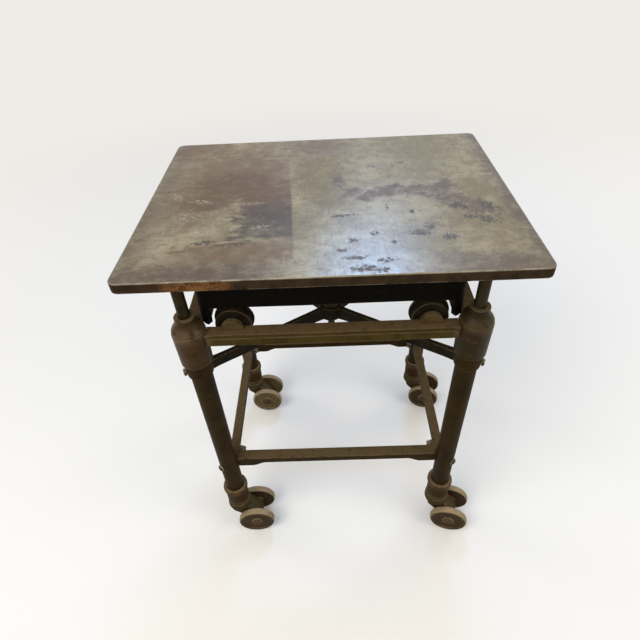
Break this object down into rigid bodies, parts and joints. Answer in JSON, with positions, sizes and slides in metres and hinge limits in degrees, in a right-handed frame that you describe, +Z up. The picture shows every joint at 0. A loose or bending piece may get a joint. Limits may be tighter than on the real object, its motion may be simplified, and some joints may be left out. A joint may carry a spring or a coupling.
{
  "type": "printers turtle table",
  "caption": "Wheeled printers' work table: a thick iron top on a screw-lifted apron over pipe legs with bell-shaped corner castings, rails, a cross brace and swivel casters.",
  "frame": {"origin": "on the floor, under the middle of the table's overall box", "axes": "+Z up, +Y from the front of the table to its rear, +X to the right seen from the front"},
  "size_m": [0.7756, 0.597, 0.972],
  "materials": {
    "top_iron": "planed, worn bare with brown patina",
    "apron_iron": "rough black casting",
    "post_steel": "dark oxidised",
    "screw_steel": "dark oxidised",
    "boss_iron": "rough black casting",
    "nut_steel": "dark oxidised",
    "casting_iron": "rusty brown, worn at the shoulder",
    "leg_iron": "dark olive-brown oxide",
    "rail_iron": "dark oxide, worn on top",
    "brace_iron": "near black",
    "stretcher_iron": "dark oxide, worn on top",
    "brace_bolt_steel": "dull",
    "stretcher_bolt_steel": "dull",
    "roller_iron": "dark oxide with worn flanges",
    "socket_iron": "dull grey-brown",
    "fork_iron": "dull greenish grey",
    "axle_steel": "dull",
    "wheel_iron": "dark brown faces, dusty treads"
  },
  "bodies": {
    "frame": {"cross_brace_main": "brace_iron", "brace_arm_front_right": "brace_iron", "brace_arm_rear_left": "brace_iron", "corner_casting_front_left": "casting_iron", "leg_tube_front_left": "leg_iron", "brace_bolt_front_left": "brace_bolt_steel", "stretcher_bolt_front_left": "stretcher_bolt_steel", "caster_socket_front_left": "socket_iron", "corner_casting_front_right": "casting_iron", "leg_tube_front_right": "leg_iron", "brace_bolt_front_right": "brace_bolt_steel", "stretcher_bolt_front_right": "stretcher_bolt_steel", "caster_socket_front_right": "socket_iron", "corner_casting_rear_left": "casting_iron", "leg_tube_rear_left": "leg_iron", "brace_bolt_rear_left": "brace_bolt_steel", "stretcher_bolt_rear_left": "stretcher_bolt_steel", "caster_socket_rear_left": "socket_iron", "corner_casting_rear_right": "casting_iron", "leg_tube_rear_right": "leg_iron", "brace_bolt_rear_right": "brace_bolt_steel", "stretcher_bolt_rear_right": "stretcher_bolt_steel", "caster_socket_rear_right": "socket_iron", "upper_rail_front": "rail_iron", "stretcher_front": "stretcher_iron", "upper_rail_rear": "rail_iron", "stretcher_rear": "stretcher_iron", "upper_rail_left": "rail_iron", "stretcher_left": "stretcher_iron", "upper_rail_right": "rail_iron", "stretcher_right": "stretcher_iron"},
    "lift": {"table_top": "top_iron", "apron_frame": "apron_iron", "elevating_screw": "screw_steel", "screw_boss": "boss_iron", "guide_post_front_left": "post_steel", "guide_post_front_right": "post_steel", "guide_post_rear_left": "post_steel", "guide_post_rear_right": "post_steel"},
    "lifting_nut": {"lifting_nut": "nut_steel"},
    "bearer_roller_front_left": {"bearer_roller_front_left": "roller_iron"},
    "bearer_roller_front_right": {"bearer_roller_front_right": "roller_iron"},
    "bearer_roller_rear_left": {"bearer_roller_rear_left": "roller_iron"},
    "bearer_roller_rear_right": {"bearer_roller_rear_right": "roller_iron"},
    "caster_front_left": {"caster_fork_front_left": "fork_iron", "caster_axle_front_left": "axle_steel"},
    "caster_wheel_front_left_near": {"caster_wheel_front_left_near": "wheel_iron"},
    "caster_wheel_front_left_far": {"caster_wheel_front_left_far": "wheel_iron"},
    "caster_front_right": {"caster_fork_front_right": "fork_iron", "caster_axle_front_right": "axle_steel"},
    "caster_wheel_front_right_near": {"caster_wheel_front_right_near": "wheel_iron"},
    "caster_wheel_front_right_far": {"caster_wheel_front_right_far": "wheel_iron"},
    "caster_rear_left": {"caster_fork_rear_left": "fork_iron", "caster_axle_rear_left": "axle_steel"},
    "caster_wheel_rear_left_near": {"caster_wheel_rear_left_near": "wheel_iron"},
    "caster_wheel_rear_left_far": {"caster_wheel_rear_left_far": "wheel_iron"},
    "caster_rear_right": {"caster_fork_rear_right": "fork_iron", "caster_axle_rear_right": "axle_steel"},
    "caster_wheel_rear_right_near": {"caster_wheel_rear_right_near": "wheel_iron"},
    "caster_wheel_rear_right_far": {"caster_wheel_rear_right_far": "wheel_iron"}
  },
  "joints": [
    {"name": "top_lift", "type": "slide", "parent": "frame", "child": "lift", "axis": [0, 0, 1], "range_m": [0, 0.08]},
    {"name": "nut_turn", "type": "hinge", "parent": "frame", "child": "lifting_nut", "pos_m": [-0.00679, 0, 0.679], "axis": [0, 0, 1], "range_deg": [-4536, 0]},
    {"name": "roller_spin_front_left", "type": "hinge", "parent": "frame", "child": "bearer_roller_front_left", "pos_m": [-0.20879, -0.2, 0.7944], "axis": [0, 1, 0], "continuous": true},
    {"name": "roller_spin_front_right", "type": "hinge", "parent": "frame", "child": "bearer_roller_front_right", "pos_m": [0.19521, -0.2, 0.7944], "axis": [0, 1, 0], "continuous": true},
    {"name": "roller_spin_rear_left", "type": "hinge", "parent": "frame", "child": "bearer_roller_rear_left", "pos_m": [-0.20879, 0.2, 0.7944], "axis": [0, 1, 0], "continuous": true},
    {"name": "roller_spin_rear_right", "type": "hinge", "parent": "frame", "child": "bearer_roller_rear_right", "pos_m": [0.19521, 0.2, 0.7944], "axis": [0, 1, 0], "continuous": true},
    {"name": "caster_swivel_front_left", "type": "hinge", "parent": "frame", "child": "caster_front_left", "pos_m": [-0.29729, -0.2297, 0.1378], "axis": [0, 0, 1], "continuous": true},
    {"name": "wheel_spin_front_left_near", "type": "hinge", "parent": "caster_front_left", "child": "caster_wheel_front_left_near", "pos_m": [-0.25285, -0.22737, 0.052], "axis": [-0.0523, 0.9986, 0], "continuous": true},
    {"name": "wheel_spin_front_left_far", "type": "hinge", "parent": "caster_front_left", "child": "caster_wheel_front_left_far", "pos_m": [-0.25285, -0.22737, 0.052], "axis": [-0.0523, 0.9986, 0], "continuous": true},
    {"name": "caster_swivel_front_right", "type": "hinge", "parent": "frame", "child": "caster_front_right", "pos_m": [0.28371, -0.2297, 0.1378], "axis": [0, 0, 1], "continuous": true},
    {"name": "wheel_spin_front_right_near", "type": "hinge", "parent": "caster_front_right", "child": "caster_wheel_front_right_near", "pos_m": [0.32669, -0.24122, 0.052], "axis": [0.2588, 0.9659, 0], "continuous": true},
    {"name": "wheel_spin_front_right_far", "type": "hinge", "parent": "caster_front_right", "child": "caster_wheel_front_right_far", "pos_m": [0.32669, -0.24122, 0.052], "axis": [0.2588, 0.9659, 0], "continuous": true},
    {"name": "caster_swivel_rear_left", "type": "hinge", "parent": "frame", "child": "caster_rear_left", "pos_m": [-0.29729, 0.2297, 0.1378], "axis": [0, 0, 1], "continuous": true},
    {"name": "wheel_spin_rear_left_near", "type": "hinge", "parent": "caster_rear_left", "child": "caster_wheel_rear_left_near", "pos_m": [-0.25281, 0.22853, 0.052], "axis": [0.0262, 0.9997, 0], "continuous": true},
    {"name": "wheel_spin_rear_left_far", "type": "hinge", "parent": "caster_rear_left", "child": "caster_wheel_rear_left_far", "pos_m": [-0.25281, 0.22853, 0.052], "axis": [0.0262, 0.9997, 0], "continuous": true},
    {"name": "caster_swivel_rear_right", "type": "hinge", "parent": "frame", "child": "caster_rear_right", "pos_m": [0.28371, 0.2297, 0.1378], "axis": [0, 0, 1], "continuous": true},
    {"name": "wheel_spin_rear_right_near", "type": "hinge", "parent": "caster_rear_right", "child": "caster_wheel_rear_right_near", "pos_m": [0.32696, 0.21924, 0.052], "axis": [0.2351, 0.972, 0], "continuous": true},
    {"name": "wheel_spin_rear_right_far", "type": "hinge", "parent": "caster_rear_right", "child": "caster_wheel_rear_right_far", "pos_m": [0.32696, 0.21924, 0.052], "axis": [0.2351, 0.972, 0], "continuous": true}
  ],
  "couplings": [
    {"joint": "nut_turn", "follows": "top_lift", "rad_per_m": -989.48}
  ]
}
